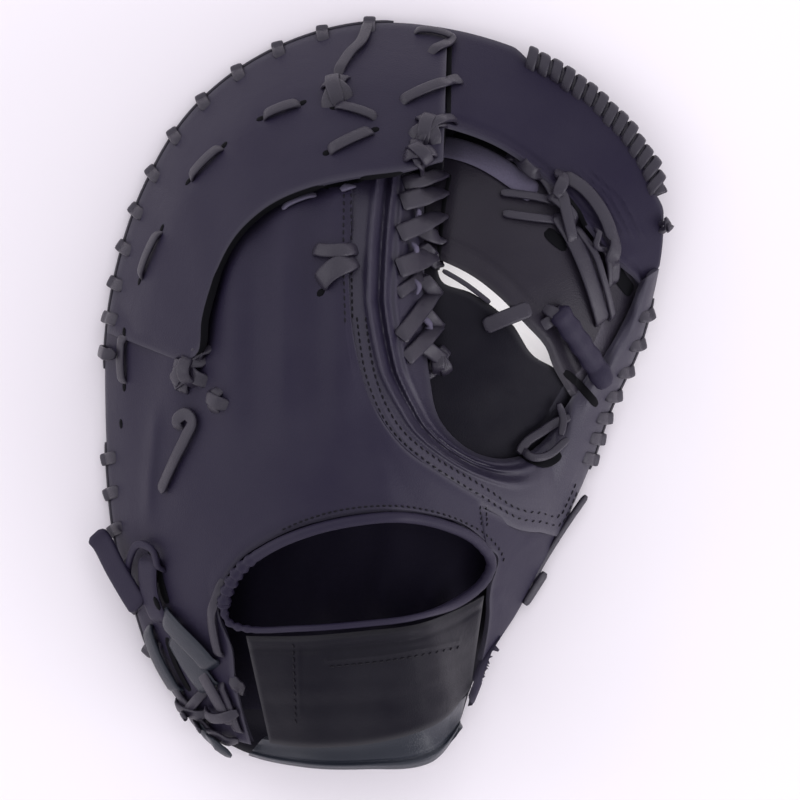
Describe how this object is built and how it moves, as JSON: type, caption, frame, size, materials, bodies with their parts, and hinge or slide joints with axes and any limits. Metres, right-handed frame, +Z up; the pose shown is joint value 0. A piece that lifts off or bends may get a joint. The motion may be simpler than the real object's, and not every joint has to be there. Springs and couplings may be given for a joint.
{
  "type": "first baseman mitt",
  "caption": "Leather first baseman mitt lying on its palm, hollow for the hand, with a laced web, a wrist opening and rawhide lacing.",
  "frame": {"origin": "middle of the mitt's outline, at the level it rests on", "axes": "+Z up out of the back of the hand, +Y from the heel to the fingertips, +X towards the thumb"},
  "size_m": [0.2498, 0.3286, 0.1052],
  "materials": {
    "leather": "smooth, semi-gloss",
    "web_leather": "smooth, semi-gloss",
    "band_leather": "glossy",
    "lace": "waxed"
  },
  "bodies": {
    "root": {"palm": "leather", "finger_back": "leather", "hand_back": "leather", "thumb_back": "leather", "crotch_facing": "leather", "web_top": "leather", "web_mid": "web_leather", "web_bar": "leather", "slit_strip": "lace", "wrist_binding": "leather", "wrist_strap": "leather", "heel_band": "band_leather", "finger_lace_1": "lace", "finger_lace_2": "lace", "finger_lace_3": "lace", "finger_lace_4": "lace", "finger_lace_5": "lace", "rim_lace_fingers": "lace", "rim_lace_side": "lace", "rim_lace_thumb": "lace", "web_edge_wrap": "lace", "web_column_lace": "lace", "seam_lace_upper": "lace", "seam_lace_lower": "lace", "web_knot": "lace", "fingertip_lace": "lace", "fingertip_knot": "lace", "index_lace_tab": "lace", "side_knot": "lace", "side_lace_tail": "lace", "web_lace_long": "lace", "web_lace_short": "lace", "web_tail_upper": "lace", "web_tail_lower": "lace", "slit_lace": "lace", "crotch_loop": "lace", "thumb_lace": "lace", "thumb_lace_end": "lace", "adjust_strap": "lace", "adjust_tab": "lace", "tab_loop": "lace", "heel_lace_upper": "lace", "heel_lace_lower": "lace", "heel_knot": "lace"}
  },
  "joints": []
}
